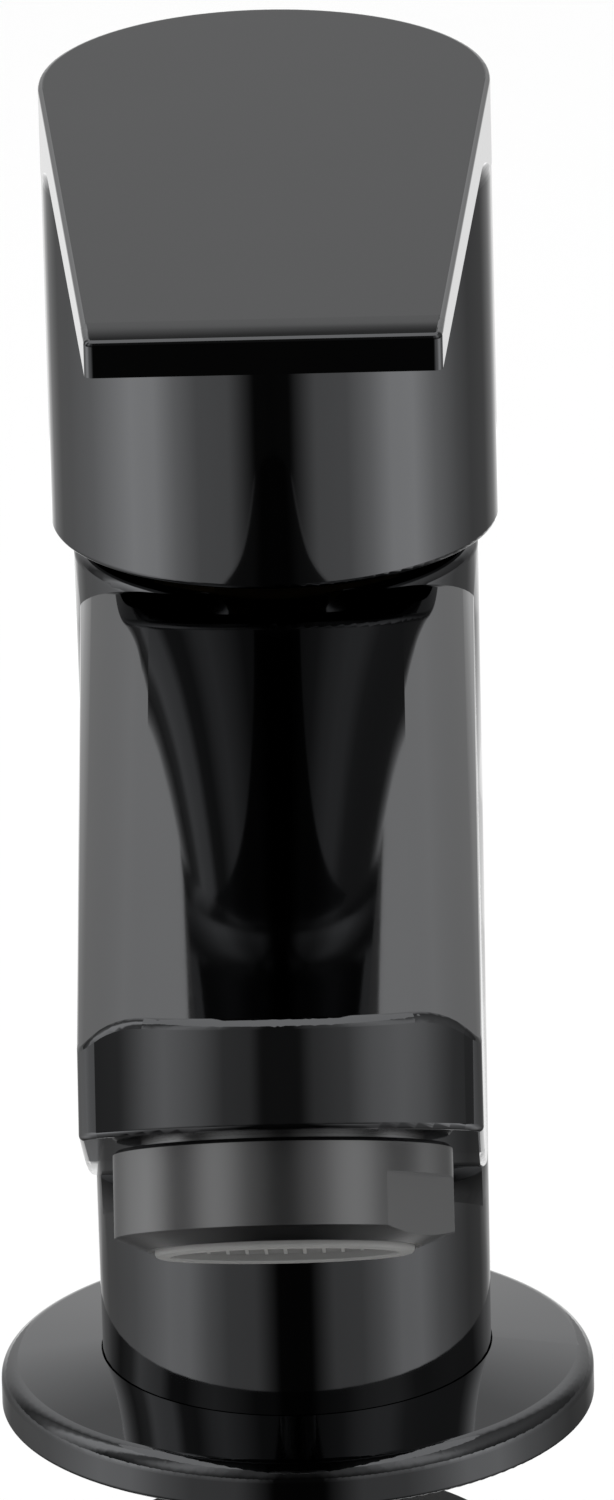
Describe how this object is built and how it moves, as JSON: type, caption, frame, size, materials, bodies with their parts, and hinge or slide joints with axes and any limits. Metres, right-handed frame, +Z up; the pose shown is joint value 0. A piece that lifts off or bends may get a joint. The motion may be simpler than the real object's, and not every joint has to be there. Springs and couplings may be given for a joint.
{
  "type": "basin pillar tap",
  "caption": "Basin pillar tap with a round base flange, a wedge spout with an aerator, and a quarter-turn flat lever on a round handle.",
  "frame": {"origin": "on the body's axis at the deck, the plane of the flange's underside", "axes": "+Z up along the body and tail, -Y along the spout, +X to the right of a person facing the spout"},
  "size_m": [0.0626, 0.145, 0.1943],
  "materials": {
    "black_chrome": "polished black chrome plating",
    "raw_brass": "turned brass",
    "steel": "plain steel",
    "black_rubber": "matt rubber",
    "ceramic": "lapped ceramic",
    "pale_plastic": "moulded plastic"
  },
  "bodies": {
    "tap": {"body_casting": "black_chrome", "base_flange": "black_chrome", "base_gasket": "black_rubber", "tail_shank": "raw_brass", "headwork_bush": "raw_brass", "headwork_seal": "black_rubber", "seat_seal": "black_rubber", "fixed_disc": "ceramic", "friction_ring": "pale_plastic", "aerator_housing": "black_chrome", "aerator_washer": "black_rubber", "aerator_screen": "steel", "aerator_cage": "pale_plastic"},
    "handle": {"lever_handle": "black_chrome", "spline_bush": "pale_plastic", "grub_screw": "steel", "screw_plug": "black_chrome", "spindle": "raw_brass", "spindle_seals": "black_rubber", "spindle_clip": "steel", "moving_disc": "ceramic"},
    "deck_fixing": {"deck_washer": "black_rubber", "clamp_washer": "steel", "back_nut": "raw_brass"}
  },
  "joints": [
    {"name": "handle_turn", "type": "hinge", "parent": "tap", "child": "handle", "pos_m": [0, 0, 0.1], "axis": [0, 0, 1], "range_deg": [0, 90]},
    {"name": "back_nut_travel", "type": "slide", "parent": "tap", "child": "deck_fixing", "axis": [0, 0, 1], "range_m": [-0.014, 0.015]}
  ]
}
